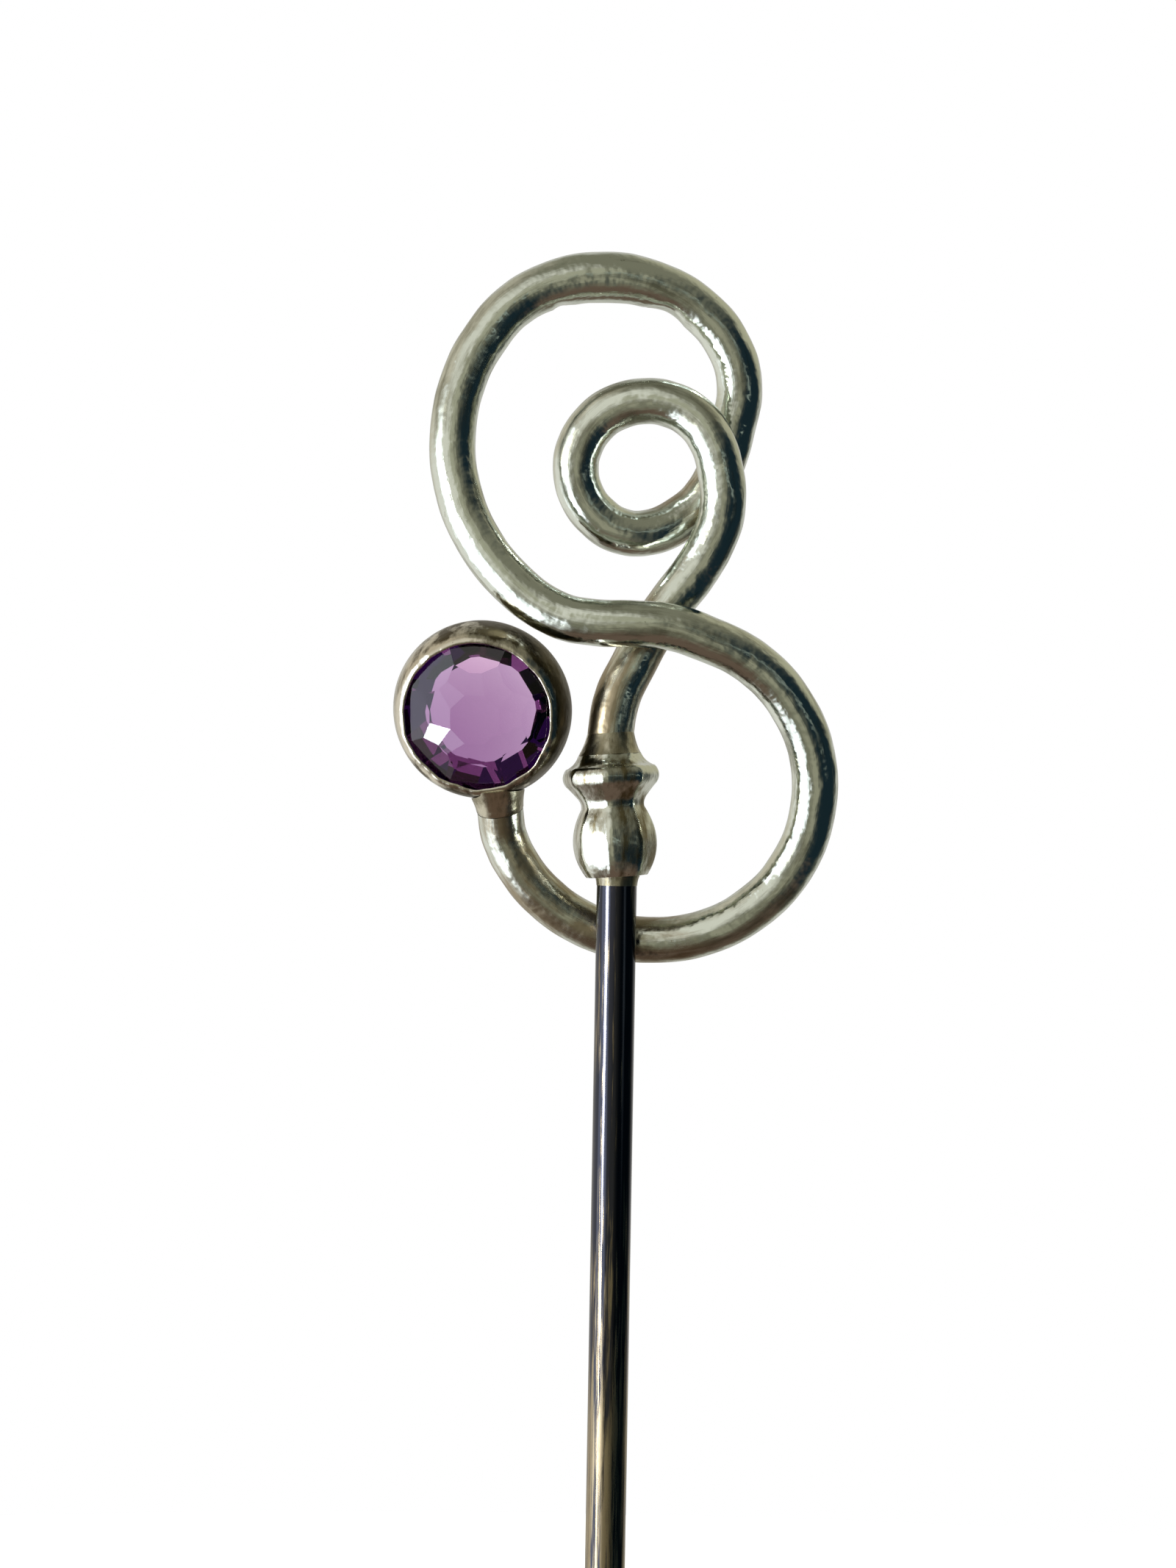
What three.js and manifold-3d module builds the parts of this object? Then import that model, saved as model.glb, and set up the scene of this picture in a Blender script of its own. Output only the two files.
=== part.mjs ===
// A hat pin with a silver scroll head.
//
// One length of round silver wire is bent into an open scroll. Its upper end carries a
// collet with a round faceted amethyst, and its lower end is soldered into an octagonal
// silver knop. A long pointed steel shank is soldered into the knop from below.
//
// Millimetres. +Z runs up the pin, and the scroll is seen face on from -Y. The origin is
// the middle of the knop's lower end face, where the shank leaves it.

import * as THREE from 'three';
import { mergeVertices } from 'three/addons/utils/BufferGeometryUtils.js';
import { ConvexGeometry } from 'three/addons/geometries/ConvexGeometry.js';
import Module from 'manifold-3d';

const wasm = await Module();
wasm.setup();

// ---------------------------------------------------------------- driving dimensions

const wireDiameter = 1.5;
const wireSides = 16;
const wireSteps = 150;
const wireFoot = new THREE.Vector3(-0.3, 0, 3.55); // lower end of the wire, in its socket
const wireTail = new THREE.Vector3(-3.83, 0.6, 2.08); // upper end of the wire, at the collet

const shankDiameter = 1.3;
const shankLength = 152.4; // a six inch shank
const shankInKnop = 3;
const pointLength = 14;

const knopLean = THREE.MathUtils.degToRad(4.5); // to the left, away from the shank's line
const knopTurn = THREE.MathUtils.degToRad(-7.3); // of one ridge, from straight in front
const knopEndRadius = 1.05;
const knopTopRadius = 1.06;
const knopTop = 3.95;
const socketRadius = 0.86;
const socketFloor = 3.45;
const boreRadius = 0.75;
const boreDepth = 3.1;

const stoneDiameter = 5;
const stoneTilt = new THREE.Vector3(-0.124, -0.966, -0.228).normalize();
const lipCentre = new THREE.Vector3(-4.58, -1.13, 5.08);
const colletWidest = 2.92; // radius
const colletDepth = 2.5;
const colletBack = 2.05; // radius of the opening at the back, which lets light through the stone
const girdleDrop = 0.15; // of the stone's girdle below the collet's lip

const solderGap = 0.02; // left between a joint's solder and the metal each side of it
const roundSides = 40;

// ---------------------------------------------------------------- materials

const silver = { color: 0xb3aa92, roughness: 0.3, metalness: 1 };
const silverWorn = { color: 0x8f8670, roughness: 0.42, metalness: 1 };
const solderSilver = { color: 0xa0946f, roughness: 0.45, metalness: 1 };
const steel = { color: 0x3c3d45, roughness: 0.28, metalness: 1 };
const amethyst = { color: 0x8a4aa6, roughness: 0.04, metalness: 0 };

// ---------------------------------------------------------------- helpers

function piece(name, geometry, finish) {
  const mesh = new THREE.Mesh(geometry, new THREE.MeshStandardMaterial(finish));
  mesh.name = name;
  return mesh;
}

// A solid of revolution about Z, from an outline of [radius, height] points.
function turned(outline, sides = roundSides, turn = 0) {
  const points = outline.map(([radius, height]) => new THREE.Vector2(radius, height));
  return new THREE.LatheGeometry(points, sides, turn).rotateX(Math.PI / 2);
}

function rod(radius, bottom, top, sides = 24) {
  return turned([[0, bottom], [radius, bottom], [radius, top], [0, top]], sides);
}

function solid(geometry) {
  const bare = geometry.clone();
  bare.deleteAttribute('normal');
  bare.deleteAttribute('uv');
  const merged = mergeVertices(bare, 1e-4);
  const corners = merged.index.array;
  const kept = [];
  for (let i = 0; i < corners.length; i += 3) {
    const [a, b, c] = [corners[i], corners[i + 1], corners[i + 2]];
    if (a !== b && b !== c && c !== a) kept.push(a, b, c);
  }
  return new wasm.Manifold(new wasm.Mesh({
    numProp: 3,
    vertProperties: new Float32Array(merged.attributes.position.array),
    triVerts: new Uint32Array(kept),
  }));
}

function surface(body) {
  const mesh = body.getMesh();
  const geometry = new THREE.BufferGeometry();
  geometry.setAttribute('position', new THREE.BufferAttribute(mesh.vertProperties, 3));
  geometry.setIndex(new THREE.BufferAttribute(mesh.triVerts, 1));
  geometry.computeVertexNormals();
  return geometry;
}

// ---------------------------------------------------------------- the scroll

// One round bend: part of an ellipse in the face of the scroll, in degrees from +X,
// while the depth goes evenly from its first value to its last.
function bend({ centre, half, from, to, depth, points }) {
  return Array.from({ length: points }, (_, i) => {
    const t = i / (points - 1);
    const angle = THREE.MathUtils.degToRad(THREE.MathUtils.lerp(from, to, t));
    return new THREE.Vector3(
      centre[0] + half[0] * Math.cos(angle),
      THREE.MathUtils.lerp(depth[0], depth[1], t),
      centre[1] + half[1] * Math.sin(angle),
    );
  });
}

function at(x, y, z) {
  return new THREE.Vector3(x, y, z);
}

function scrollPath() {
  const stem = [
    wireFoot,
    at(-0.3, 0, 4.1),
    at(-0.28, 0, 4.65),
    at(-0.08, 0.06, 5.8),
    at(0.4, 0.17, 6.85),
    at(0.95, 0.3, 7.9),
    at(1.6, 0.34, 8.9),
    at(2.32, 0.28, 9.86),
    at(2.91, 0.12, 10.9),
    at(3.21, -0.02, 12),
    at(3.12, -0.08, 13.2),
  ];
  const smallLoop = bend({
    centre: [0.72, 13.27], half: [2.29, 2.16], from: 26, to: 250, depth: [-0.1, 0.88], points: 11,
  });
  const behindStem = [
    at(0.81, 1.04, 11.22), at(1.88, 1.31, 11.71), at(2.75, 1.54, 12.55), at(3.25, 1.6, 13.6),
  ];
  const bigLoop = bend({
    centre: [-0.61, 15.87], half: [4.37, 3.68], from: -18, to: 156, depth: [1.58, 0.34], points: 9,
  });
  const leftSide = bend({
    centre: [0.73, 14.04], half: [6.3, 6.3], from: 160, to: 243, depth: [0.2, -1], points: 6,
  });
  const frontBar = [at(-0.9, -1.2, 8.15), at(0.35, -1.28, 8.13), at(1.5, -1.25, 8.05)];
  const lowerLoop = { centre: [1.18, 2.91], half: [5.18, 5.02] };
  const lowerRight = bend({ ...lowerLoop, from: 74, to: -92, depth: [-1.15, 1.5], points: 9 });
  const behindShank = bend({ ...lowerLoop, from: -105, to: -118, depth: [1.55, 1.53], points: 2 });
  const lowerLeft = bend({ ...lowerLoop, from: -132, to: -160, depth: [1.38, 0.95], points: 3 });
  return new THREE.CatmullRomCurve3([
    ...stem, ...smallLoop, ...behindStem, ...bigLoop, ...leftSide, ...frontBar,
    ...lowerRight, ...behindShank, ...lowerLeft, wireTail,
  ], false, 'centripetal');
}

const scrollCurve = scrollPath();

function scrollWire() {
  const section = new THREE.Shape();
  for (let i = 0; i < wireSides; i++) {
    const angle = (i / wireSides) * 2 * Math.PI;
    const corner = [Math.cos(angle) * wireDiameter / 2, Math.sin(angle) * wireDiameter / 2];
    if (i === 0) section.moveTo(...corner);
    else section.lineTo(...corner);
  }
  return new THREE.ExtrudeGeometry(section, {
    extrudePath: scrollCurve, steps: wireSteps, bevelEnabled: false,
  });
}

// ---------------------------------------------------------------- the knop

// Bead, waist and flared rim in one octagonal casting, bored from below for the shank and
// sunk from above for the wire. Its own +Z is its axis.
function knop() {
  const outline = new THREE.Path();
  outline.moveTo(0, 0);
  outline.lineTo(knopEndRadius, 0);
  outline.quadraticCurveTo(1.73, 1.05, 1.06, 2.22); // bead
  outline.quadraticCurveTo(1.02, 2.42, 1.2, 2.62); // waist
  outline.quadraticCurveTo(1.36, 2.82, 1.52, 2.98);
  outline.quadraticCurveTo(1.68, 3.24, 1.5, 3.52); // rim
  outline.quadraticCurveTo(1.16, 3.66, knopTopRadius, knopTop); // flare
  outline.lineTo(0, knopTop);
  const blank = turned(outline.getPoints(5).map((p) => [p.x, p.y]), 8, knopTurn);
  const bore = rod(boreRadius, -1, boreDepth).rotateY(knopLean);
  const socket = rod(socketRadius, socketFloor, knopTop + 1);
  return surface(solid(blank).subtract(solid(bore)).subtract(solid(socket)));
}

// Solder round the wire: it fills the socket and draws up into a fillet.
function wireSolder() {
  const inSocket = socketRadius - solderGap;
  const blank = turned([
    [0, socketFloor + 0.12], [inSocket, socketFloor + 0.12], [inSocket, knopTop + solderGap],
    [1.03, knopTop + solderGap], [0.91, 4.15], [0.84, 4.35], [0.79, 4.6], [0, 4.6],
  ], 24);
  const wireHole = rod(wireDiameter / 2 + solderGap, 3, 5).translate(wireFoot.x, 0, 0);
  wireHole.rotateY(knopLean);
  return surface(solid(blank).subtract(solid(wireHole)));
}

// Solder round the shank: a sleeve in the bore that ends in a small cone below the knop.
function shankSolder() {
  const outer = boreRadius - solderGap;
  const inner = shankDiameter / 2 + solderGap;
  return turned([
    [inner, -0.24], [outer - 0.02, -0.06], [outer, 0], [outer, 0.9], [inner, 0.9], [inner, -0.24],
  ], 24);
}

// ---------------------------------------------------------------- the shank

function shank() {
  const radius = shankDiameter / 2;
  const top = shankInKnop;
  const tip = top - shankLength;
  return turned([
    [0, tip], [0.05, tip + 0.12], [0.3, tip + pointLength * 0.35],
    [0.54, tip + pointLength * 0.72], [radius, tip + pointLength],
    [radius, top - 0.1], [radius - 0.1, top], [0, top],
  ], 24);
}

// ---------------------------------------------------------------- collet and stone
// All in the collet's own frame: the lip is at height 0 and the stone looks along +Z.

const colletOutside = [
  [2.46, 0.02], [2.59, -0.06], [2.76, -0.36], [2.88, -0.75], [colletWidest, -1.12],
  [2.87, -1.5], [2.7, -1.92], [2.45, -2.24], [2.15, -colletDepth], [colletBack, -colletDepth],
];

function collet() {
  const inside = [
    [colletBack, -2.38], [2.22, -2.12], [2.36, -1.6], [2.36, -1], [2.54, -1], [2.54, -0.12],
    [2.37, -0.05], [2.38, 0.01],
  ];
  const wall = [...colletOutside, ...inside, colletOutside[0]];
  return turned(wall.reverse());
}

// The inner ring on which the girdle bears, bevelled to the stone's pavilion.
function bearingRing() {
  return turned([
    [2.2, -0.96], [2.52, -0.96], [2.52, -0.42], [2.46, -0.42], [2.2, -0.82], [2.2, -0.96],
  ]);
}

// Round stone: an octagonal table, eight crown kites, a thin girdle, and eight steep facets
// down to a flat octagonal back.
function stone() {
  const girdle = stoneDiameter / 2;
  const girdleTop = -girdleDrop;
  const girdleFoot = girdleTop - 0.15;
  const table = 0.85;
  const tableTop = girdleTop + 0.65;
  const kite = 1.9;
  const kiteTop = girdleTop + 0.33;
  const backRadius = 1.7;
  const back = girdleFoot - 1.2;
  const half = Math.PI / 8;
  const corners = [];
  const corner = (radius, angle, z) => {
    corners.push(at(radius * Math.cos(angle), radius * Math.sin(angle), z));
  };
  for (let i = 0; i < 8; i++) {
    const angle = i * Math.PI / 4;
    corner(table, angle, tableTop);
    corner(kite, angle, kiteTop);
    corner(backRadius, angle + half, back);
    for (const side of [0, half]) {
      corner(girdle, angle + side, girdleTop);
      corner(girdle, angle + side, girdleFoot);
    }
  }
  return new ConvexGeometry(corners);
}

// Solder between the wire's flat end and the collet's wall: a short plug, hollowed on top
// to the wall. It is made in the scroll's frame.
function colletSolder(setting) {
  const inset = scrollCurve.getTangentAt(1);
  const plug = turned([
    [0, solderGap], [0.78, solderGap], [0.8, 0.2], [0.9, 0.5], [1, 1], [0, 1],
  ], 24);
  plug.applyQuaternion(new THREE.Quaternion().setFromUnitVectors(at(0, 0, 1), inset));
  plug.translate(wireTail.x, wireTail.y, wireTail.z);
  const grow = 1 + 1.5 * solderGap / colletWidest;
  const body = turned([...colletOutside, [0, -colletDepth]].reverse().concat([[0, 0.02]]));
  const middle = -colletDepth / 2;
  body.translate(0, 0, -middle).scale(grow, grow, grow).translate(0, 0, middle);
  setting.updateMatrixWorld();
  body.applyMatrix4(setting.matrixWorld);
  return surface(solid(plug).subtract(solid(body)));
}

// ---------------------------------------------------------------- assembly

const hatPin = new THREE.Group();

const setting = new THREE.Group();
setting.position.copy(lipCentre);
setting.quaternion.setFromUnitVectors(at(0, 0, 1), stoneTilt);
setting.add(
  piece('collet', collet(), silverWorn),
  piece('bearing_ring', bearingRing(), silver),
  piece('amethyst', stone(), amethyst),
);

const ferrule = new THREE.Group();
ferrule.rotation.y = -knopLean;
ferrule.add(
  piece('knop', knop(), silver),
  piece('wire_solder', wireSolder(), solderSilver),
);

hatPin.add(
  piece('shank', shank(), steel),
  piece('shank_solder', shankSolder(), solderSilver),
  ferrule,
  piece('scroll_wire', scrollWire(), silver),
  piece('collet_solder', colletSolder(setting), solderSilver),
  setting,
);

export default hatPin;
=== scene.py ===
import math

import bpy
from mathutils import Matrix, Vector, kdtree, noise


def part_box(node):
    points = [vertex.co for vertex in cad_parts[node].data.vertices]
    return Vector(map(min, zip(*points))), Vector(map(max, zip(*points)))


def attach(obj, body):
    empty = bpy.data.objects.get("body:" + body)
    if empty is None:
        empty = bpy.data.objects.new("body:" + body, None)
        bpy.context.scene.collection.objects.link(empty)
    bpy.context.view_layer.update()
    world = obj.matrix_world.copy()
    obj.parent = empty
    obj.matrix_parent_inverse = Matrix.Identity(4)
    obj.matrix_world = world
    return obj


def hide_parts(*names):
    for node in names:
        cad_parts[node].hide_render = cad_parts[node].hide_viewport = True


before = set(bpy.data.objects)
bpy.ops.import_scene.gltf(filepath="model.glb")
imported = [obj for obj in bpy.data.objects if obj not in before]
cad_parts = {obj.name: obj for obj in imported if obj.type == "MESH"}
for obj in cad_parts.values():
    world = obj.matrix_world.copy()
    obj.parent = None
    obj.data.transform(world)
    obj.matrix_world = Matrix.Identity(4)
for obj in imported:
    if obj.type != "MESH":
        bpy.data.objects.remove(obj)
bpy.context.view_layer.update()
bpy.ops.object.select_all(action="DESELECT")


# ------------------------------------------------------------------ scroll wire
# One length of 1.5 mm round sterling silver wire, drawn, annealed and bent with round-nosed
# pliers: a small loop, a large loop, a bar across the stem and a loop behind the shank.

MM = 0.001
WIRE_RADIUS = 0.75 * MM
DRAWN_LINE_WIDTH, DRAWN_LINE_DEPTH = 0.27 * MM, 0.018 * MM
TARNISH_CLOUD = 0.9 * MM
DIRT_SPECK = 0.17 * MM
DENT_WIDTH, DENT_DEPTH = 0.55 * MM, 0.06 * MM


def linear(hex_colour):
    """An sRGB hex colour as linear RGBA."""
    channels = [int(hex_colour[i:i + 2], 16) / 255 for i in (1, 3, 5)]
    return (*[c / 12.92 if c <= 0.04045 else ((c + 0.055) / 1.055) ** 2.4 for c in channels], 1.0)


def add_node(tree, kind, settings=None, links=None):
    """One node: properties and socket values from settings, and sources linked to its sockets."""
    made = tree.nodes.new(kind)
    for name, value in (settings or {}).items():
        if isinstance(name, str) and hasattr(made, name):
            setattr(made, name, value)
        else:
            made.inputs[name].default_value = value
    for socket, source in (links or {}).items():
        tree.links.new(source, made.inputs[socket])
    return made


def blank_material(name):
    """A new material with an empty node tree, and that tree."""
    material = bpy.data.materials.new(name)
    material.use_nodes = True
    material.node_tree.nodes.clear()
    return material, material.node_tree


def sterling_silver(name, clean, tarnish, smooth, dull, cover, along=None, worn=None, deep=None):
    """Silver that is bright where it is handled and grey-brown where it has tarnished.

    The tarnish lies in soft clouds of about a millimetre, and dirt in small ragged specks.
    Fine lines left by drawing or filing run along Z. The attribute named by along gives the
    place to use instead of the object's own, as for a bent wire. The attribute named by worn
    adds tarnish above 0 and takes it away below, and deep is the colour of what it adds. On
    the collet that attribute also lays painted shade.
    """
    material, tree = blank_material(name)
    if along:
        place = add_node(tree, "ShaderNodeAttribute", {"attribute_name": along}).outputs["Vector"]
    else:
        place = add_node(tree, "ShaderNodeTexCoord").outputs["Object"]
    stretched = add_node(tree, "ShaderNodeMapping", {"Scale": (1, 1, 0.06)}, {"Vector": place})
    lines = add_node(
        tree, "ShaderNodeTexNoise",
        {"Scale": 1 / DRAWN_LINE_WIDTH, "Detail": 6.0, "Roughness": 0.65},
        {"Vector": stretched.outputs["Vector"]},
    )
    drawn_out = add_node(tree, "ShaderNodeMapping", {"Scale": (1, 1, 0.35)}, {"Vector": place})
    clouds = add_node(
        tree, "ShaderNodeTexNoise", {"Scale": 1 / TARNISH_CLOUD, "Detail": 5.0, "Roughness": 0.6},
        {"Vector": drawn_out.outputs["Vector"]},
    )
    dirt = add_node(
        tree, "ShaderNodeTexNoise", {"Scale": 1 / DIRT_SPECK, "Detail": 3.0, "Roughness": 0.6},
        {"Vector": place},
    )
    specks = add_node(
        tree, "ShaderNodeMapRange", {"From Min": 0.67, "From Max": 0.78, "To Max": 0.8},
        {"Value": dirt.outputs["Fac"]},
    )
    streaky = add_node(
        tree, "ShaderNodeMath", {"operation": "MULTIPLY_ADD", 1: 0.6},
        {0: lines.outputs["Fac"], 2: clouds.outputs["Fac"]},
    )
    if worn:
        # The worn attribute is tarnish, and on the collet painted shade as well.
        tarnish_and_painted_shade = add_node(tree, "ShaderNodeAttribute", {"attribute_name": worn})
        streaky = add_node(
            tree, "ShaderNodeMath", {"operation": "MULTIPLY_ADD", 1: 0.17},
            {0: tarnish_and_painted_shade.outputs["Fac"], 2: streaky.outputs[0]},
        )
    amount = add_node(
        tree, "ShaderNodeMapRange", {"From Min": 0.84 - cover, "From Max": 1.04 - cover},
        {"Value": streaky.outputs[0]},
    )
    dark = add_node(
        tree, "ShaderNodeMath", {"operation": "MAXIMUM"},
        {0: amount.outputs[0], 1: specks.outputs[0]},
    )
    colour = add_node(
        tree, "ShaderNodeMix", {"data_type": "RGBA", 6: linear(clean), 7: linear(tarnish)},
        {0: dark.outputs[0]},
    )
    if deep:
        film = add_node(
            tree, "ShaderNodeMix", {"data_type": "RGBA", 6: linear(tarnish), 7: linear(deep)},
            {0: tarnish_and_painted_shade.outputs["Fac"]},
        )
        tree.links.new(film.outputs[2], colour.inputs[7])
    gloss = add_node(
        tree, "ShaderNodeMapRange", {"To Min": smooth, "To Max": dull},
        {"Value": amount.outputs[0]},
    )
    fine_bump = add_node(
        tree, "ShaderNodeBump", {"Strength": 0.6, "Distance": DRAWN_LINE_DEPTH},
        {"Height": lines.outputs["Fac"]},
    )
    dents = add_node(
        tree, "ShaderNodeTexNoise", {"Scale": 1 / DENT_WIDTH, "Detail": 2.0, "Roughness": 0.5},
        {"Vector": place},
    )
    bump = add_node(
        tree, "ShaderNodeBump", {"Strength": 0.7, "Distance": DENT_DEPTH},
        {"Height": dents.outputs["Fac"], "Normal": fine_bump.outputs["Normal"]},
    )
    shader = add_node(
        tree, "ShaderNodeBsdfPrincipled", {"Metallic": 1.0},
        {"Base Color": colour.outputs[2], "Roughness": gloss.outputs[0],
         "Normal": bump.outputs["Normal"]},
    )
    add_node(tree, "ShaderNodeOutputMaterial", links={"Surface": shader.outputs[0]})
    return material


def finish_piece(piece, material, body, slot, *nodes):
    """A finished piece: its material, the body it rides on, and the CAD nodes it stands for."""
    piece.data.materials.clear()
    piece.data.materials.append(material)
    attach(piece, body)
    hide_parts(*nodes)


def round_bend(centre, half, sweep, depth, points):
    """Points of one round bend in the scroll's face: an elliptical arc that moves in depth."""
    made = []
    for i in range(points):
        t = i / (points - 1)
        angle = math.radians(sweep[0] + (sweep[1] - sweep[0]) * t)
        made.append((
            centre[0] + half[0] * math.cos(angle),
            depth[0] + (depth[1] - depth[0]) * t,
            centre[1] + half[1] * math.sin(angle),
        ))
    return made


wire_foot = (-0.3, 0, 3.55)
stem = [
    (-0.3, 0, 4.1), (-0.28, 0, 4.65), (-0.08, 0.06, 5.8), (0.4, 0.17, 6.85), (0.95, 0.3, 7.9),
    (1.6, 0.34, 8.9), (2.32, 0.28, 9.86), (2.91, 0.12, 10.9), (3.21, -0.02, 12),
    (3.12, -0.08, 13.2),
]
small_loop = round_bend((0.72, 13.27), (2.29, 2.16), (26, 250), (-0.1, 0.88), 11)
behind_stem = [(0.81, 1.04, 11.22), (1.88, 1.31, 11.71), (2.75, 1.54, 12.55), (3.25, 1.6, 13.6)]
big_loop = round_bend((-0.61, 15.87), (4.37, 3.68), (-18, 156), (1.58, 0.34), 9)
left_side = round_bend((0.73, 14.04), (6.3, 6.3), (160, 243), (0.2, -1), 6)
front_bar = [(-0.9, -1.2, 8.15), (0.35, -1.28, 8.13), (1.5, -1.25, 8.05)]
lower_centre, lower_half = (1.18, 2.91), (5.18, 5.02)
lower_right = round_bend(lower_centre, lower_half, (74, -92), (-1.15, 1.5), 9)
behind_shank = round_bend(lower_centre, lower_half, (-105, -118), (1.55, 1.53), 2)
lower_left = round_bend(lower_centre, lower_half, (-132, -160), (1.38, 0.95), 3)
wire_tail = (-3.83, 0.6, 2.08)
route = [
    Vector(point) * MM for point in [
        wire_foot, *stem, *small_loop, *behind_stem, *big_loop, *left_side, *front_bar,
        *lower_right, *behind_shank, *lower_left, wire_tail,
    ]
]


def bent_wire(points, radius):
    """A smooth wire through the points, as a mesh, and its centre line as a list of places."""
    bpy.ops.curve.primitive_bezier_curve_add(location=(0, 0, 0))
    wire = bpy.context.object
    wire.data.splines.clear()
    spline = wire.data.splines.new("BEZIER")
    spline.bezier_points.add(len(points) - 1)
    for knot, place in zip(spline.bezier_points, points):
        knot.co = place
        knot.handle_left_type = knot.handle_right_type = "AUTO"
    wire.data.dimensions = "3D"
    wire.data.twist_mode = "MINIMUM"
    wire.data.resolution_u = 16
    bpy.ops.object.duplicate()
    centre = bpy.context.object
    bpy.ops.object.convert(target="MESH")
    line = [v.co.copy() for v in centre.data.vertices]
    bpy.data.objects.remove(centre)
    wire.select_set(True)
    bpy.context.view_layer.objects.active = wire
    wire.data.bevel_depth = radius
    wire.data.bevel_resolution = 14
    wire.data.use_fill_caps = True
    bpy.ops.object.convert(target="MESH")
    return wire, line


scroll, centre_line = bent_wire(route, WIRE_RADIUS)
scroll.name = scroll.data.name = "scroll_wire_bent"

# The wire's own coordinates, as if it were still straight: across, across, and along.
nearest = kdtree.KDTree(len(centre_line))
for i, place in enumerate(centre_line):
    nearest.insert(place, i)
nearest.balance()
run = [0.0]
for a, b in zip(centre_line, centre_line[1:]):
    run.append(run[-1] + (b - a).length)
scroll.data.attributes.new("straight", "FLOAT_VECTOR", "POINT")
scroll.data.attributes.new("worn", "FLOAT", "POINT")
straight, worn = (scroll.data.attributes[name].data for name in ("straight", "worn"))


def run_at(point):
    """How far along the wire a place of its route lies."""
    return run[nearest.find(Vector(point) * MM)[1]]


# Fingers polish the outside of the loops, and tarnish stays where the wire is sheltered.
PAST_THE_END = 3 * MM
SHELTERED = [
    (run_at(wire_foot), run_at(stem[5])),
    (run_at(behind_stem[0]), run_at(behind_stem[3])),
    (run_at(lower_right[7]), run_at(wire_tail) + PAST_THE_END),
]
TARNISH_FADE = 1.2 * MM


def within(along, start, end):
    """1 inside this stretch of the wire, fading to 0 at its two ends."""
    past_start = min(1, max(0, (along - start) / TARNISH_FADE + 0.5))
    before_end = min(1, max(0, (end - along) / TARNISH_FADE + 0.5))
    return past_start * before_end


# Hand-bent wire is never quite round: it has slow waves of 1.1 mm and quick ones of 0.4 mm.
SLOW_WAVE, SLOW_SWELL = 900, 0.018
QUICK_WAVE, QUICK_SWELL = 2600, 0.008

# The pliers spread the wire at the large loop's top, and left a flat on the inside of it.
LOOP_TOP = Vector((-0.75, 0, 19.5)) * MM
PLIER_REACH = 1.9 * MM
PLIER_SPREAD = 0.13
PLIER_SINK = 0.05 * MM
FLAT_FLOOR = 18.6 * MM
FLAT_DEPTH = 0.3 * MM
FLAT_LEFT, FLAT_RIGHT = -2.4 * MM, 1.9 * MM
LEFT_BLEND, RIGHT_BLEND = 0.35 * MM, 1.2 * MM
FLATNESS = 0.9
for vertex in scroll.data.vertices:
    middle, i, _ = nearest.find(vertex.co)
    ahead = centre_line[min(i + 1, len(centre_line) - 1)] - centre_line[max(i - 1, 0)]
    ahead.normalize()
    back = (Vector((0, 1, 0)) - ahead * ahead.y).normalized()
    side = ahead.cross(back)
    out = vertex.co - middle
    straight[vertex.index].vector = (out.dot(side), out.dot(back), run[i])
    worn[vertex.index].value = max(within(run[i], start, end) for start, end in SHELTERED)
    slow = SLOW_SWELL * noise.noise(vertex.co * SLOW_WAVE)
    quick = QUICK_SWELL * noise.noise(vertex.co * QUICK_WAVE)
    out *= 1 + slow + quick
    spread = math.exp(-((middle - LOOP_TOP).length / PLIER_REACH) ** 2)
    out *= 1 + PLIER_SPREAD * spread
    vertex.co = middle + out - Vector((0, 0, PLIER_SINK * spread))
    if middle.z > FLAT_FLOOR - FLAT_DEPTH and vertex.co.z < FLAT_FLOOR:
        from_left = (vertex.co.x - FLAT_LEFT) / LEFT_BLEND
        from_right = (FLAT_RIGHT - vertex.co.x) / RIGHT_BLEND
        pressed = max(0, min(from_left, from_right, 1))
        vertex.co.z += FLATNESS * pressed * (FLAT_FLOOR - vertex.co.z)
scroll.data.update()
bpy.ops.object.shade_smooth()

# Drawn sterling silver, polished by hand: clear reflections, and a warm grey-brown film where
# it is sheltered.
wire_silver = sterling_silver(
    "drawn_sterling_silver_hand_polished", clean="#d4dad1", tarnish="#8f9081",
    smooth=0.09, dull=0.34, cover=0.03, along="straight", worn="worn", deep="#9b917b",
)
finish_piece(scroll, wire_silver, "root", "silver", "scroll_wire")


# ------------------------------------------------------------------ knop
# A small octagonal silver casting: bead, waist and flared rim. Its ridges are worn soft by
# filing and polishing. It is drilled from below for the shank and sunk above for the wire.

LEAN_ANGLE = math.radians(4.5)
KNOP_LEAN = Matrix.Rotation(-LEAN_ANGLE, 4, "Y")
KNOP_TOP = 3.95
RIDGE_TURN = math.radians(-7.3)
RIDGE_WEAR = 0.13 * MM
SAME_RIDGE = 0.1
CLEAR_OF_AXIS = 0.5 * MM
DRILLED_RADIUS, DRILLED_TO = 0.75 * MM, 3.1 * MM
SOCKET_RADIUS, SOCKET_FLOOR = 0.86 * MM, 3.45 * MM
BELOW_KNOP, ABOVE_KNOP = -1 * MM, 5 * MM


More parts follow.
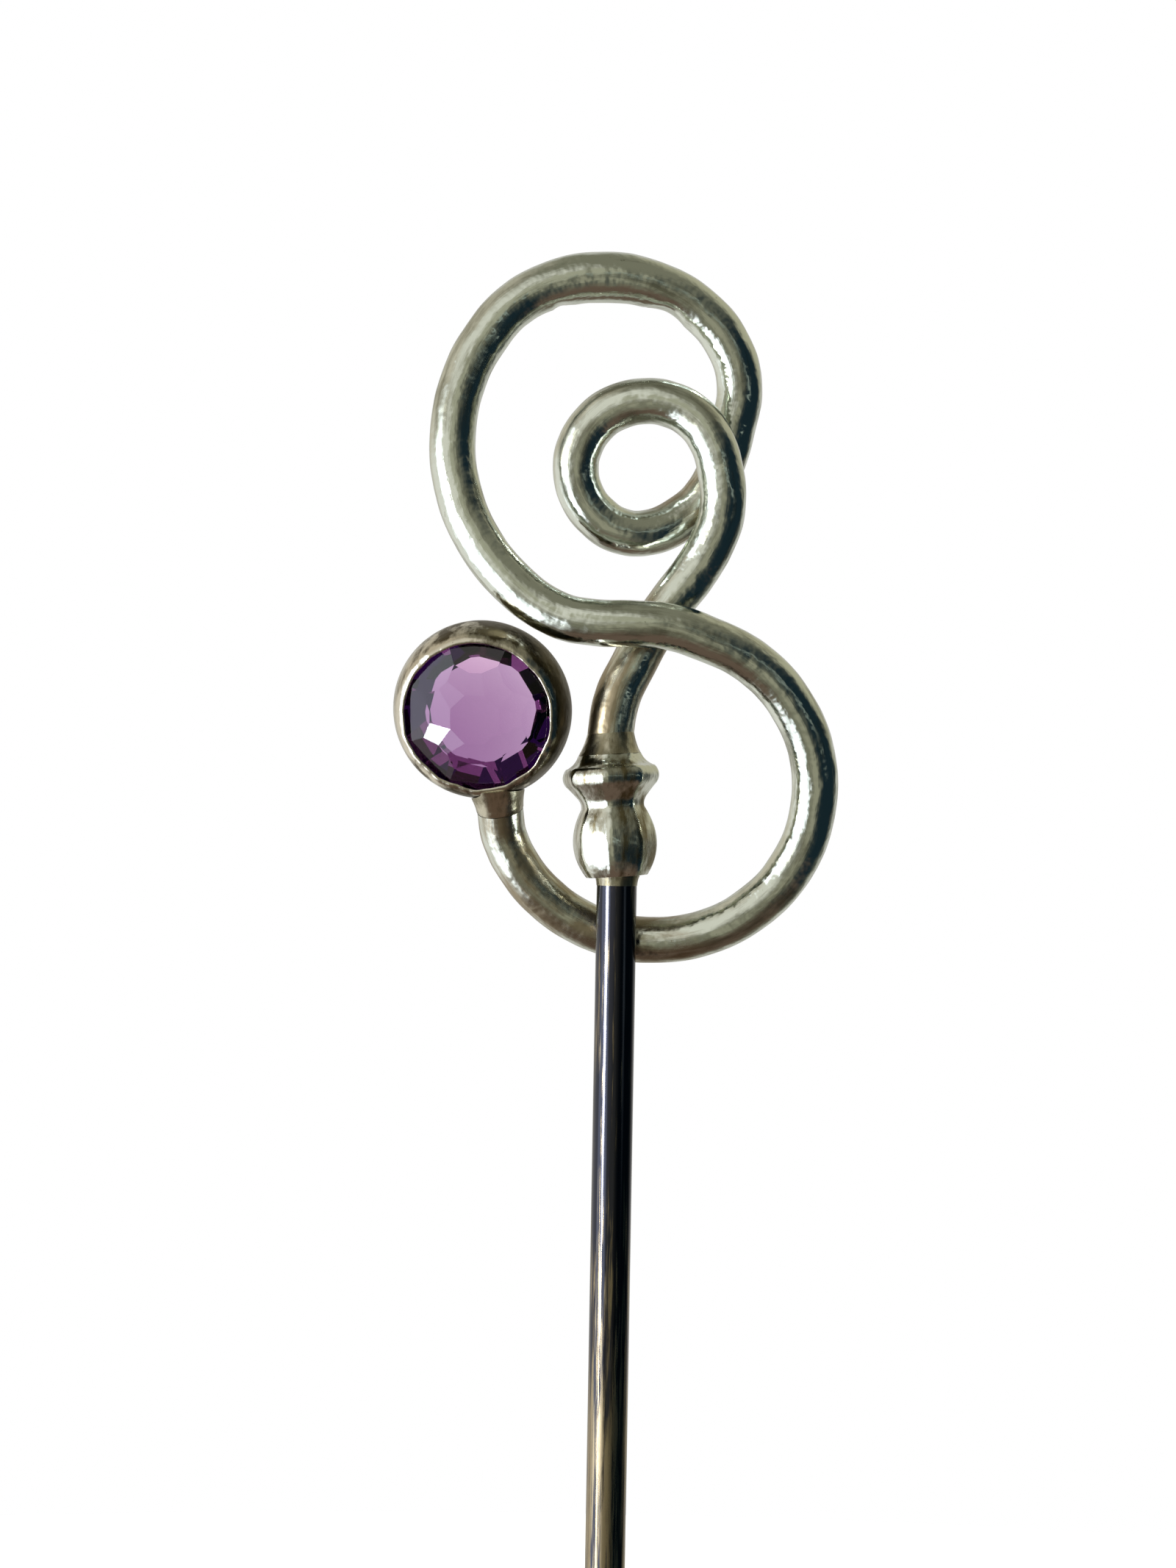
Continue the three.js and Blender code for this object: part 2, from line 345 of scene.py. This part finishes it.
def turned_piece(name, outline, steps, turn=0.0):
    """A piece turned about Z from an outline of (radius, height) in millimetres."""
    first = Vector((math.sin(turn), -math.cos(turn), 0))
    places = [first * r * MM + Vector((0, 0, h * MM)) for r, h in outline]
    bpy.ops.object.select_all(action="DESELECT")
    bpy.ops.mesh.primitive_plane_add(size=0.1 * MM, location=(0, 0, 0))
    piece = bpy.context.object
    piece.name = piece.data.name = name
    bpy.ops.object.mode_set(mode="EDIT")
    bpy.ops.mesh.select_mode(type="VERT")
    bpy.ops.mesh.select_all(action="SELECT")
    bpy.ops.mesh.merge(type="CENTER")
    bpy.ops.transform.translate(value=places[0])
    for here, there in zip(places, places[1:]):
        bpy.ops.mesh.extrude_vertices_move(TRANSFORM_OT_translate={"value": there - here})
    bpy.ops.mesh.select_all(action="SELECT")
    bpy.ops.mesh.spin(steps=steps, angle=2 * math.pi, center=(0, 0, 0), axis=(0, 0, 1))
    bpy.ops.mesh.select_all(action="SELECT")
    bpy.ops.mesh.remove_doubles(threshold=0.0005 * MM)
    bpy.ops.mesh.normals_make_consistent(inside=False)
    bpy.ops.object.mode_set(mode="OBJECT")
    return piece


def arc_points(start, bulge, end, points):
    """A round stretch of an outline: from start to end, drawn towards bulge."""
    made = []
    for i in range(points):
        t = i / points
        made.append(tuple(
            (1 - t) ** 2 * s + 2 * t * (1 - t) * b + t ** 2 * e
            for s, b, e in zip(start, bulge, end)
        ))
    return made


def drill(piece, radius, bottom, top, lean=0.0):
    """Cuts a round hole on the Z axis, leaned about Y."""
    bpy.ops.mesh.primitive_cylinder_add(
        vertices=64, radius=radius, depth=top - bottom, location=(0, 0, 0),
    )
    bit = bpy.context.object
    middle = Matrix.Translation((0, 0, (top + bottom) / 2))
    bit.data.transform(Matrix.Rotation(lean, 4, "Y") @ middle)
    cut = piece.modifiers.new("drill", "BOOLEAN")
    cut.operation, cut.object, cut.solver = "DIFFERENCE", bit, "EXACT"
    bpy.ops.object.select_all(action="DESELECT")
    piece.select_set(True)
    bpy.context.view_layer.objects.active = piece
    bpy.ops.object.modifier_apply(modifier=cut.name)
    bpy.data.objects.remove(bit)


bead = arc_points((1.05, 0.03), (1.74, 1.05), (1.06, 2.22), 14)
waist = arc_points((1.06, 2.22), (1.02, 2.42), (1.2, 2.62), 6)
under_rim = arc_points((1.2, 2.62), (1.36, 2.82), (1.52, 2.98), 5)
rim = arc_points((1.52, 2.98), (1.7, 3.24), (1.5, 3.52), 8)
flare = arc_points((1.5, 3.52), (1.16, 3.66), (1.06, KNOP_TOP), 8)
knop_outline = [
    (0, 0), (1.02, 0), *bead, *waist, *under_rim, *rim, *flare, (1.06, KNOP_TOP), (0, KNOP_TOP),
]
knop = turned_piece("knop_octagonal", knop_outline, 8, RIDGE_TURN)
bpy.ops.object.mode_set(mode="EDIT")
bpy.ops.mesh.select_mode(type="EDGE")
bpy.ops.mesh.select_all(action="DESELECT")
bpy.ops.object.mode_set(mode="OBJECT")
for edge in knop.data.edges:
    a, b = (knop.data.vertices[i].co for i in edge.vertices)
    turn_between = math.remainder(math.atan2(a.x, -a.y) - math.atan2(b.x, -b.y), 2 * math.pi)
    outside = min(a.xy.length, b.xy.length) > CLEAR_OF_AXIS
    edge.select = abs(turn_between) < SAME_RIDGE and outside
bpy.ops.object.mode_set(mode="EDIT")
bpy.ops.mesh.bevel(offset=RIDGE_WEAR, segments=4, profile=0.5, affect="EDGES")
bpy.ops.object.mode_set(mode="OBJECT")
drill(knop, DRILLED_RADIUS, BELOW_KNOP, DRILLED_TO, LEAN_ANGLE)
drill(knop, SOCKET_RADIUS, SOCKET_FLOOR, ABOVE_KNOP)
bpy.ops.object.shade_smooth_by_angle(angle=math.radians(38))
knop.data.transform(KNOP_LEAN)

# Cast sterling silver, filed and polished: bright faces with brown-grey clouds between them.
knop_silver = sterling_silver(
    "cast_sterling_silver_filed_and_polished", clean="#d7dbd2", tarnish="#7d7459",
    smooth=0.08, dull=0.32, cover=0.09,
)
finish_piece(knop, knop_silver, "root", "silver", "knop")


# ------------------------------------------------------------------ wire solder
# Silver solder that filled the knop's socket round the wire and was drawn up into a fillet.
# It was filed flush with the knop's flare, and it is duller than the silver and tarnishes sooner.

FILLET_FOOT, FILLET_TOP = 3.955, 4.65
FILLET_LEAN = 0.083 * MM
wire_fillet = arc_points((1.01, FILLET_FOOT), (0.85, 4.2), (0.75, FILLET_TOP), 12)
wire_joint_outline = [
    (0.8, 3.6), (0.84, 3.6), (0.84, FILLET_FOOT), *wire_fillet, (0.75, FILLET_TOP),
    (0.73, FILLET_TOP),
]
wire_joint = turned_piece("wire_solder_fillet", wire_joint_outline, 64)
bpy.ops.object.shade_smooth_by_angle(angle=math.radians(60))
wire_joint.data.transform(KNOP_LEAN)
for vertex in wire_joint.data.vertices:
    # The knop leans and the wire stands upright, so the fillet's top leans back onto the wire.
    up = max(0, min(1, (vertex.co.z / MM - FILLET_FOOT) / (FILLET_TOP - FILLET_FOOT)))
    vertex.co.x += FILLET_LEAN * up

# Hard silver solder, aged: a duller and slightly yellower grey than the sterling beside it.
solder = sterling_silver(
    "hard_silver_solder_aged", clean="#c6c2b0", tarnish="#8b8570",
    smooth=0.14, dull=0.34, cover=0.18,
)
finish_piece(wire_joint, solder, "root", "solder", "wire_solder")


# ------------------------------------------------------------------ shank
# A 1.3 mm drawn steel pin, ground to a long point and polished. The steel is dark with age.
# Lower down it has long pale, warm lines, partly steel rubbed bare again and partly a painted
# reflection of warm surroundings, with small brown spots of old rust.

shank_low, shank_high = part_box("shank")
SHANK_RADIUS = 0.65
POINT_LENGTH = 14
POINT_FULLNESS = 1.7
STEEL_LINE_WIDTH, STEEL_LINE_DEPTH = 0.12 * MM, 0.006 * MM
RUST_SPOT = 0.5 * MM
DARK_DOWN_TO, PALE_STREAKS_BELOW = -9 * MM, -18 * MM
top, tip = shank_high.z / MM, shank_low.z / MM
point_curve = [
    (SHANK_RADIUS * (1 - ((POINT_LENGTH - h) / POINT_LENGTH) ** POINT_FULLNESS), tip + h)
    for h in (0, 0.15, 0.4, 0.8, 1.5, 2.5, 4, 6, 8, 10, 12, 14)
]
body_foot = tip + POINT_LENGTH
BODY_RINGS = 60
body_rings = [
    (SHANK_RADIUS, body_foot + (top - body_foot) * i / BODY_RINGS)
    for i in range(1, BODY_RINGS + 1)
]
shank = turned_piece("shank_steel", [*point_curve, *body_rings, (0, top)], 40)
bpy.ops.object.shade_smooth_by_angle(angle=math.radians(50))

# Drawn carbon steel, polished and aged: nearly black and glossy near the knop, and streaked
# with pale, slightly warm lines further down, which are partly rubbed steel and partly a
# painted reflection.
shank_steel, tree = blank_material("drawn_carbon_steel_polished_aged")
place = add_node(tree, "ShaderNodeTexCoord").outputs["Object"]
along = add_node(tree, "ShaderNodeMapping", {"Scale": (1, 1, 0.03)}, {"Vector": place})
drawing = add_node(
    tree, "ShaderNodeTexNoise", {"Scale": 1 / STEEL_LINE_WIDTH, "Detail": 6.0, "Roughness": 0.65},
    {"Vector": along.outputs["Vector"]},
)
spots = add_node(
    tree, "ShaderNodeTexNoise", {"Scale": 1 / RUST_SPOT, "Detail": 8.0, "Roughness": 0.7},
    {"Vector": place},
)
height = add_node(tree, "ShaderNodeSeparateXYZ", links={"Vector": place})
lower_part = add_node(
    tree, "ShaderNodeMapRange",
    {"From Min": DARK_DOWN_TO, "From Max": PALE_STREAKS_BELOW, "To Min": -0.14, "To Max": 0.04},
    {"Value": height.outputs["Z"]},
)
pale_streak_field = add_node(
    tree, "ShaderNodeMath", {"operation": "ADD"},
    {0: drawing.outputs["Fac"], 1: lower_part.outputs[0]},
)
# Partly painted reflection: the pale warm streaks lower down stand both for rubbed steel and for
# warm surroundings reflected in it.
rubbed_and_reflection_streaks = add_node(
    tree, "ShaderNodeMapRange", {"From Min": 0.44, "From Max": 0.56},
    {"Value": pale_streak_field.outputs[0]},
)
rust = add_node(
    tree, "ShaderNodeMapRange", {"From Min": 0.62, "From Max": 0.75},
    {"Value": spots.outputs["Fac"]},
)
dark_steel = add_node(
    tree, "ShaderNodeMix", {"data_type": "RGBA", 6: linear("#3c3e48"), 7: linear("#3a322a")},
    {0: rust.outputs[0]},
)
steel_colour = add_node(
    tree, "ShaderNodeMix", {"data_type": "RGBA", 7: linear("#9c8f75")},
    {0: rubbed_and_reflection_streaks.outputs[0], 6: dark_steel.outputs[2]},
)
steel_gloss = add_node(
    tree, "ShaderNodeMapRange", {"To Min": 0.09, "To Max": 0.3}, {"Value": rubbed_and_reflection_streaks.outputs[0]},
)
steel_bump = add_node(
    tree, "ShaderNodeBump", {"Strength": 0.4, "Distance": STEEL_LINE_DEPTH},
    {"Height": drawing.outputs["Fac"]},
)
steel_shader = add_node(
    tree, "ShaderNodeBsdfPrincipled", {"Metallic": 1.0},
    {"Base Color": steel_colour.outputs[2], "Roughness": steel_gloss.outputs[0],
     "Normal": steel_bump.outputs["Normal"]},
)
add_node(tree, "ShaderNodeOutputMaterial", links={"Surface": steel_shader.outputs[0]})
finish_piece(shank, shank_steel, "root", "steel", "shank")


# ------------------------------------------------------------------ shank solder
# The sleeve of hard silver solder that holds the shank in the knop. It is mostly hidden inside,
# and a small cone of it shows below.

cone = arc_points((0.66, -0.3), (0.68, -0.08), (0.73, -0.01), 5)
shank_joint_outline = [(0.66, 0.9), *cone, (0.73, 0), (0.73, 0.9), (0.66, 0.9)]
shank_joint = turned_piece("shank_solder_cone", shank_joint_outline, 48)
bpy.ops.object.shade_smooth_by_angle(angle=math.radians(50))
finish_piece(shank_joint, solder, "root", "solder", "shank_solder")


# ------------------------------------------------------------------ collet
# A round cup turned and raised from sterling silver, open at the back. Its thin lip is rubbed
# over the stone by hand, so it is uneven, bright on top, and brown with tarnish on the wall,
# which also has painted shade at its lower right.

FACING = Vector((-0.124, -0.966, -0.228)).normalized()
collet_low, collet_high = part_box("collet")
LIP_ABOVE_MIDDLE = 1.17 * MM
LIP_CENTRE = (collet_low + collet_high) / 2 + FACING * LIP_ABOVE_MIDDLE


def turned_to(direction):
    """The turn that brings a piece's Z axis to this direction."""
    return Vector((0, 0, 1)).rotation_difference(direction).to_matrix().to_4x4()


SETTING = Matrix.Translation(LIP_CENTRE) @ turned_to(FACING)
outer_wall = [
    (2.38, 0.01), (2.43, 0.03), (2.5, 0.01), (2.59, -0.06), (2.68, -0.18), (2.77, -0.38),
    (2.86, -0.68), (2.915, -1.0), (2.92, -1.25), (2.87, -1.55), (2.7, -1.92), (2.45, -2.24),
    (2.22, -2.44), (2.12, -2.5),
]
inner_wall = [
    (2.05, -2.46), (2.07, -2.38), (2.22, -2.15), (2.34, -1.85), (2.38, -1.5), (2.38, -1.02),
    (2.53, -0.99), (2.54, -0.9), (2.54, -0.3), (2.52, -0.12), (2.4, -0.06), (2.37, -0.03),
    (2.38, 0.01),
]
collet = turned_piece("collet_rubbed_over", [*outer_wall, *inner_wall], 96)

# The lip was pushed over in long waves with short folds between them. The wall is darkened
# towards its lower right by painted shade, and the lip is rubbed bright.
LIP_DEPTH, LIP_OUTSIDE = 0.35 * MM, 2.62 * MM
WAVES_ROUND, WAVE_PUSH = 3.2, 0.07 * MM
FOLDS_ROUND, FOLD_PUSH, FOLD_LIFT = 9.0, 0.035 * MM, 0.03 * MM
# The side of the wall that is given painted shade.
PAINTED_SHADE_SIDE = Vector((0.9, -0.3))
LIP_POLISH = 1.5
painted_shade_and_lip_polish = collet.data.attributes.new("painted_shade_and_lip_polish", "FLOAT", "POINT")
for vertex in collet.data.vertices:
    on_lip = vertex.co.xy.length < LIP_OUTSIDE
    lip = max(0.0, 1 - abs(vertex.co.z) / LIP_DEPTH) if on_lip else 0.0
    around = vertex.co.xy.normalized()
    wave = noise.noise(Vector((around.x * WAVES_ROUND, around.y * WAVES_ROUND, 4.0)))
    fold = noise.noise(Vector((around.x * FOLDS_ROUND, around.y * FOLDS_ROUND, 7.0)))
    pushed = lip * (WAVE_PUSH * wave + FOLD_PUSH * fold)
    vertex.co += Vector((around.x * pushed, around.y * pushed, lip * FOLD_LIFT * fold))
    # Painted shade: the wall is darker towards its lower right; the lip's polish is real wear.
    painted_shade_and_lip_polish.data[vertex.index].value = PAINTED_SHADE_SIDE.dot(around) - LIP_POLISH * lip
round_off = collet.modifiers.new("round_off", "SUBSURF")
round_off.levels = round_off.render_levels = 2
bpy.ops.object.modifier_apply(modifier=round_off.name)
bpy.ops.object.shade_smooth()
collet.data.transform(SETTING)

# Raised sterling silver, left to tarnish: a dark brown wall under a bright, worn lip, with
# painted shade laid on the wall's lower right through the attribute.
collet_silver = sterling_silver(
    "raised_sterling_silver_tarnished_with_painted_shade", clean="#cfcabb", tarnish="#524a37",
    smooth=0.13, dull=0.36, cover=0.26, worn="painted_shade_and_lip_polish",
)
finish_piece(collet, collet_silver, "root", "collet_silver", "collet")


# ------------------------------------------------------------------ bearing ring
# The ring of sterling silver inside the collet that the stone's girdle rests on. It is bevelled
# to fit the stone's underside, and the lip hides it from the front.

ring_outline = [
    (2.2, -0.96), (2.52, -0.96), (2.52, -0.42), (2.46, -0.42), (2.2, -0.82), (2.2, -0.96),
]
ring = turned_piece("bearing_ring_bevelled", ring_outline, 96)
bpy.ops.object.shade_smooth_by_angle(angle=math.radians(30))
ring.data.transform(SETTING)
finish_piece(ring, knop_silver, "root", "silver", "bearing_ring")


# ------------------------------------------------------------------ amethyst
# A 5 mm round amethyst, cut and polished by hand: an octagonal table, with kites, stars and
# break facets above the girdle, and steep facets below it down to a flat back that shows as a
# clear window. The facet edges are sharp.

STONE_RADIUS = 2.5
ROUGH_DEPTH = 4
GIRDLE_FOOT = -0.3
TABLE_HEIGHT = 0.5
TABLE_RADIUS = 0.85
BACK_HEIGHT = -1.5
KITE_TURN = math.radians(194)
KITE_FOOT = 1.85
KITE_SLOPE = math.radians(17)
STAR_SLOPE = math.radians(14.6)
BREAK_SLOPE = math.radians(29)
UNDER_TURN = 0.15
MAIN_UNDER_SLOPE, SIDE_UNDER_SLOPE = math.radians(48), math.radians(49.5)

bpy.ops.mesh.primitive_cylinder_add(
    vertices=96, radius=STONE_RADIUS * MM, depth=ROUGH_DEPTH * MM, location=(0, 0, 0),
)
stone = bpy.context.object
stone.name = stone.data.name = "amethyst_round_cut"
bpy.ops.object.mode_set(mode="EDIT")


def grind(turn, radius, height, slope, side):
    """Grinds one flat facet through the point at this turn, radius and height.

    Side 1 is the front of the stone and side -1 is the back.
    """
    out = Vector((math.cos(turn), math.sin(turn), 0))
    bpy.ops.mesh.select_all(action="SELECT")
    bpy.ops.mesh.bisect(
        plane_co=out * radius * MM + Vector((0, 0, height * MM)),
        plane_no=out * math.sin(slope) + Vector((0, 0, side * math.cos(slope))),
        use_fill=True, clear_outer=True, threshold=0.0001 * MM,
    )


EIGHTH = math.pi / 4
between = math.cos(EIGHTH / 2)
kite_foot_height = TABLE_HEIGHT - (KITE_FOOT - TABLE_RADIUS) * math.tan(KITE_SLOPE)
grind(0, 0, TABLE_HEIGHT, 0, 1)
grind(0, 0, BACK_HEIGHT, 0, -1)
for i in range(8):
    at = KITE_TURN + EIGHTH * i
    grind(at, TABLE_RADIUS, TABLE_HEIGHT, KITE_SLOPE, 1)
    grind(at + EIGHTH / 2, TABLE_RADIUS * between, TABLE_HEIGHT, STAR_SLOPE, 1)
    grind(at + EIGHTH / 2, KITE_FOOT * between, kite_foot_height, BREAK_SLOPE, 1)
    grind(at + UNDER_TURN, STONE_RADIUS, GIRDLE_FOOT, MAIN_UNDER_SLOPE, -1)
    grind(at + UNDER_TURN + EIGHTH / 2, STONE_RADIUS, GIRDLE_FOOT, SIDE_UNDER_SLOPE, -1)
bpy.ops.mesh.select_all(action="SELECT")
bpy.ops.mesh.normals_make_consistent(inside=False)
bpy.ops.object.mode_set(mode="OBJECT")
stone.data.transform(SETTING)

# Amethyst, faceted and polished: clear, glassy and violet. Its tint is painted paler towards
# the upper right, as painted light for the brighter background seen through the stone.
BACKLIGHT_TOWARDS = (0.75, 0, 0.66)
BACKLIGHT_DIMMEST_AT, BACKLIGHT_BRIGHTEST_AT = -1.9 * MM, 2.6 * MM
amethyst, tree = blank_material("amethyst_faceted_polished")
place = add_node(tree, "ShaderNodeTexCoord").outputs["Object"]
toward_backlight = add_node(
    tree, "ShaderNodeVectorMath", {"operation": "DOT_PRODUCT", 1: BACKLIGHT_TOWARDS}, {0: place},
).outputs["Value"]
backlight_amount = add_node(
    tree, "ShaderNodeMapRange", {"From Min": BACKLIGHT_DIMMEST_AT, "From Max": BACKLIGHT_BRIGHTEST_AT},
    {"Value": toward_backlight},
)
# Painted light: the tint is paler towards the upper right, where more light shows through from
# behind.
painted_backlight_tint = add_node(
    tree, "ShaderNodeMix", {"data_type": "RGBA", 6: linear("#c9a6cf"), 7: linear("#fff6ff")},
    {0: backlight_amount.outputs[0]},
)
amethyst_shader = add_node(
    tree, "ShaderNodeBsdfPrincipled",
    {"Roughness": 0.0, "IOR": 1.55, "Transmission Weight": 1.0}, {"Base Color": painted_backlight_tint.outputs[2]},
)
violet = add_node(
    tree, "ShaderNodeVolumeAbsorption", {"Color": linear("#b977ba"), "Density": 620.0},
)
add_node(
    tree, "ShaderNodeOutputMaterial",
    links={"Surface": amethyst_shader.outputs[0], "Volume": violet.outputs[0]},
)
finish_piece(stone, amethyst, "root", "stone", "amethyst")


# ------------------------------------------------------------------ collet solder
# The shoulder of hard silver solder that joins the wire's end to the collet's wall. It spreads
# from the wire towards the cup, and its end follows the wall's curve, a hair outside it.

WALL_ROOM = 1.01
into_collet = (route[-1] - route[-2]).normalized()
shoulder_outline = [
    (0, 0.02), (0.75, 0.02), (0.775, 0.06), (0.79, 0.2), (0.83, 0.4), (0.9, 0.65), (0.98, 1.0),
    (0, 1.0),
]
shoulder = turned_piece("collet_solder_shoulder", shoulder_outline, 64)
shoulder.data.transform(Matrix.Translation(route[-1]) @ turned_to(into_collet))
wall_outline = [(r * WALL_ROOM, h) for r, h in outer_wall[3:13]]
hollow = turned_piece("hollow", [(0, 0), *wall_outline, (0, -2.5)], 96)
hollow.data.transform(SETTING)
bpy.ops.object.select_all(action="DESELECT")
shoulder.select_set(True)
bpy.context.view_layer.objects.active = shoulder
fit = shoulder.modifiers.new("fit", "BOOLEAN")
fit.operation, fit.object, fit.solver = "DIFFERENCE", hollow, "EXACT"
bpy.ops.object.modifier_apply(modifier=fit.name)
bpy.data.objects.remove(hollow)
bpy.ops.object.shade_smooth_by_angle(angle=math.radians(40))
finish_piece(shoulder, solder, "root", "solder", "collet_solder")


# ------------------------------------------------------------------ floor, light and camera
# A plain pale floor under the point, soft light from a window on the left, and a camera
# that looks at the scroll square on with a long lens.

FLOOR_RADIUS = 600 * MM
FLOOR_GAP = 0.2 * MM
bpy.ops.mesh.primitive_circle_add(
    vertices=96, radius=FLOOR_RADIUS, fill_type="NGON", location=(0, 0, shank_low.z - FLOOR_GAP),
)
floor = bpy.context.object
floor.name = "floor"
floor.visible_glossy = False

# Matt white board, lit so evenly that it shows no shading of its own.
floor_paint, tree = blank_material("matt_white_board")
floor_shader = add_node(
    tree, "ShaderNodeBsdfPrincipled",
    {"Base Color": linear("#f2f1ee"), "Roughness": 0.9, "Emission Color": linear("#ffffff"),
     "Emission Strength": 0.85},
)
add_node(tree, "ShaderNodeOutputMaterial", links={"Surface": floor_shader.outputs[0]})
floor.data.materials.append(floor_paint)

world = bpy.data.worlds.new("studio")
bpy.context.scene.world = world
world.use_nodes = True
tree = world.node_tree
tree.nodes.clear()
toward_sky = add_node(tree, "ShaderNodeTexCoord").outputs["Generated"]
axes = add_node(tree, "ShaderNodeSeparateXYZ", links={"Vector": toward_sky})


def toward(angle, turn):
    """The direction at this angle from the camera's side, turned anticlockwise from the right."""
    angle, turn = math.radians(angle), math.radians(turn)
    across = math.sin(angle)
    return Vector((across * math.cos(turn), -math.cos(angle), across * math.sin(turn)))


def panel(direction, inner, outer):
    """1 within the inner angle of a direction, fading to 0 at the outer one."""
    nearness = add_node(
        tree, "ShaderNodeVectorMath", {"operation": "DOT_PRODUCT", 1: direction}, {0: toward_sky},
    ).outputs["Value"]
    start, end = math.cos(math.radians(outer)), math.cos(math.radians(inner))
    return add_node(
        tree, "ShaderNodeMapRange",
        {"interpolation_type": "SMOOTHSTEP", "From Min": start, "From Max": end},
        {"Value": nearness},
    ).outputs[0]


def lay(below, colour, amount, strength=1.0):
    """Lays a panel of this colour over the surroundings."""
    light = add_node(tree, "ShaderNodeBackground", {"Color": linear(colour), "Strength": strength})
    return add_node(
        tree, "ShaderNodeMixShader", links={0: amount, 1: below, 2: light.outputs[0]},
    ).outputs[0]


# What the silver reflects: a dull olive room with a paler far wall, pale walls on the left, a
# dark doorway on the right, a brown table below, and pale things round the camera. Each panel
# has its angle and turn, then the angles where it is whole and where it ends.
studio = add_node(tree, "ShaderNodeBackground", {"Color": linear("#868473")}).outputs[0]
far_wall = add_node(
    tree, "ShaderNodeMapRange",
    {"interpolation_type": "SMOOTHSTEP", "From Min": 0.35, "From Max": 0.8},
    {"Value": axes.outputs["Y"]},
)
studio = lay(studio, "#cfcdc6", far_wall.outputs[0])
studio = lay(studio, "#d9d0bf", panel(toward(95, 165), 25, 70))
studio = lay(studio, "#efece6", panel(toward(105, 208), 22, 50), 1.1)
studio = lay(studio, "#1b2b33", panel(toward(70, -10), 30, 66))
studio = lay(studio, "#c2bda4", panel(toward(118, 42), 10, 40))
studio = lay(studio, "#6d5b4f", panel(toward(84, 272), 22, 52))
studio = lay(studio, "#e9e6dc", panel(toward(38, 138), 8, 42), 1.05)
studio = lay(studio, "#b5b39f", panel(toward(18, 92), 6, 20))
studio = lay(studio, "#a5a28e", panel(toward(16, 272), 5, 18))

# A narrow pale strip, nearly level, crosses the near side of the doorway.
STRIP_NORMAL = (0.236, 0.22, 0.945)
strip = add_node(
    tree, "ShaderNodeVectorMath", {"operation": "DOT_PRODUCT", 1: STRIP_NORMAL}, {0: toward_sky},
).outputs["Value"]
strip = add_node(tree, "ShaderNodeMath", {"operation": "ABSOLUTE"}, {0: strip}).outputs[0]
narrow = add_node(
    tree, "ShaderNodeMapRange",
    {"interpolation_type": "SMOOTHSTEP", "From Min": 0.04, "From Max": 0.015}, {"Value": strip},
)
strip = add_node(
    tree, "ShaderNodeMath", {"operation": "MULTIPLY"},
    {0: narrow.outputs[0], 1: panel(toward(35, 8), 18, 30)},
).outputs[0]
studio = lay(studio, "#a9b5ad", strip)

# The window on the left, in two panes, with a lamp and the bright sky in it.
studio = lay(studio, "#f2f7ff", panel(toward(65, 200), 26, 34), 2.3)
studio = lay(studio, "#f2f7ff", panel(toward(72, 172), 16, 22), 2.3)
studio = lay(studio, "#fffbf4", panel(toward(56, 180), 6, 9), 40.0)
studio = lay(studio, "#f2f7ff", panel(toward(60, 212), 4.5, 6.5), 28.0)

# The camera sees plain white behind the pin. Light that has come through the stone sees that
# white only straight behind it, and elsewhere a dim violet, so that the stone is not washed out.
white = add_node(tree, "ShaderNodeBackground", {"Color": linear("#ffffff"), "Strength": 1.0})
ray = add_node(tree, "ShaderNodeLightPath")
straight_back = add_node(
    tree, "ShaderNodeMapRange",
    {"interpolation_type": "SMOOTHSTEP", "From Min": 0.84, "From Max": 0.93},
    {"Value": axes.outputs["Y"]},
)
behind = add_node(
    tree, "ShaderNodeMath", {"operation": "MULTIPLY"},
    {0: ray.outputs["Is Transmission Ray"], 1: straight_back.outputs[0]},
)
dim = add_node(tree, "ShaderNodeBackground", {"Color": linear("#62448e"), "Strength": 1.0})
room = add_node(
    tree, "ShaderNodeMixShader",
    links={0: ray.outputs["Is Transmission Ray"], 1: studio, 2: dim.outputs[0]},
)
seen_white = add_node(
    tree, "ShaderNodeMath", {"operation": "MAXIMUM"},
    {0: ray.outputs["Is Camera Ray"], 1: behind.outputs[0]},
)
sky = add_node(
    tree, "ShaderNodeMixShader",
    links={0: seen_white.outputs[0], 1: room.outputs[0], 2: white.outputs[0]},
)
add_node(tree, "ShaderNodeOutputWorld", links={"Surface": sky.outputs[0]})

FRAME_HEIGHT = 50.79 * MM
CAMERA_DISTANCE = 110 * MM
AIM = Vector((-0.99, 0, 2.97)) * MM
ROLL = math.radians(-1.0)
camera_data = bpy.data.cameras.new("camera")
camera_data.lens = camera_data.sensor_width * CAMERA_DISTANCE / FRAME_HEIGHT
camera_data.clip_start, camera_data.clip_end = 0.001, 10
camera = bpy.data.objects.new("camera", camera_data)
bpy.context.scene.collection.objects.link(camera)
camera.matrix_world = (
    Matrix.Translation(AIM - Vector((0, CAMERA_DISTANCE, 0)))
    @ Matrix.Rotation(ROLL, 4, "Y") @ Matrix.Rotation(math.pi / 2, 4, "X")
)
bpy.context.scene.camera = camera
bpy.context.scene.view_settings.view_transform = "Standard"
